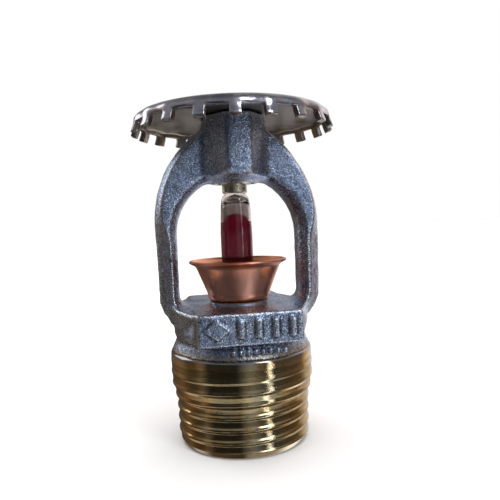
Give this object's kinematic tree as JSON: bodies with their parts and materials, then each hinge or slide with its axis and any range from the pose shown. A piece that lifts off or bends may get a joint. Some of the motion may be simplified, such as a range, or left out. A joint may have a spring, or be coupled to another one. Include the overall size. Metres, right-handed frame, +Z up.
{
  "type": "fire sprinkler head",
  "caption": "Upright glass-bulb fire sprinkler head: threaded inlet, cast yoke frame, toothed deflector, load screw, liquid-filled bulb and flared cup over the orifice seal.",
  "frame": {"origin": "centre of the inlet face, on the axis of the thread", "axes": "+Z up the axis from the inlet to the deflector; -Y out of the front wrench pad; the two arms lie along X"},
  "size_m": [0.0308, 0.0308, 0.0517],
  "materials": {
    "frame_casting": "rough cast brass with a dull chrome plating, bare turned brass on the inlet thread",
    "deflector_plate": "pressed plate, chrome plated, dull underneath",
    "screw_metal": "nickel-plated brass, turned",
    "bulb_glass": "clear glass, fire polished",
    "bulb_liquid": "deep red liquid",
    "cup_copper": "pressed copper, satin",
    "insert_steel": "turned stainless steel",
    "spring_steel": "spring strip",
    "seal_film": "white fluoropolymer film"
  },
  "bodies": {
    "head": {"frame": "frame_casting", "deflector": "deflector_plate", "seal_spring": "spring_steel", "seal_film_top": "seal_film", "seal_film_bottom": "seal_film"},
    "stack": {"cup": "cup_copper", "insert": "insert_steel", "bulb_glass": "bulb_glass", "bulb_liquid": "bulb_liquid"},
    "screw": {"load_screw": "screw_metal"}
  },
  "joints": [
    {"name": "stack_lift", "type": "slide", "parent": "head", "child": "stack", "axis": [0, 0, 1], "range_m": [0, 0.00035], "deforming": ["seal_spring", "seal_film_top", "seal_film_bottom"]},
    {"name": "screw_turn", "type": "hinge", "parent": "stack", "child": "screw", "pos_m": [0, 0, 0.045], "axis": [0, 0, 1], "range_deg": [0, 126]}
  ],
  "couplings": [
    {"joint": "screw_turn", "follows": "stack_lift", "rad_per_m": 6283.2}
  ]
}
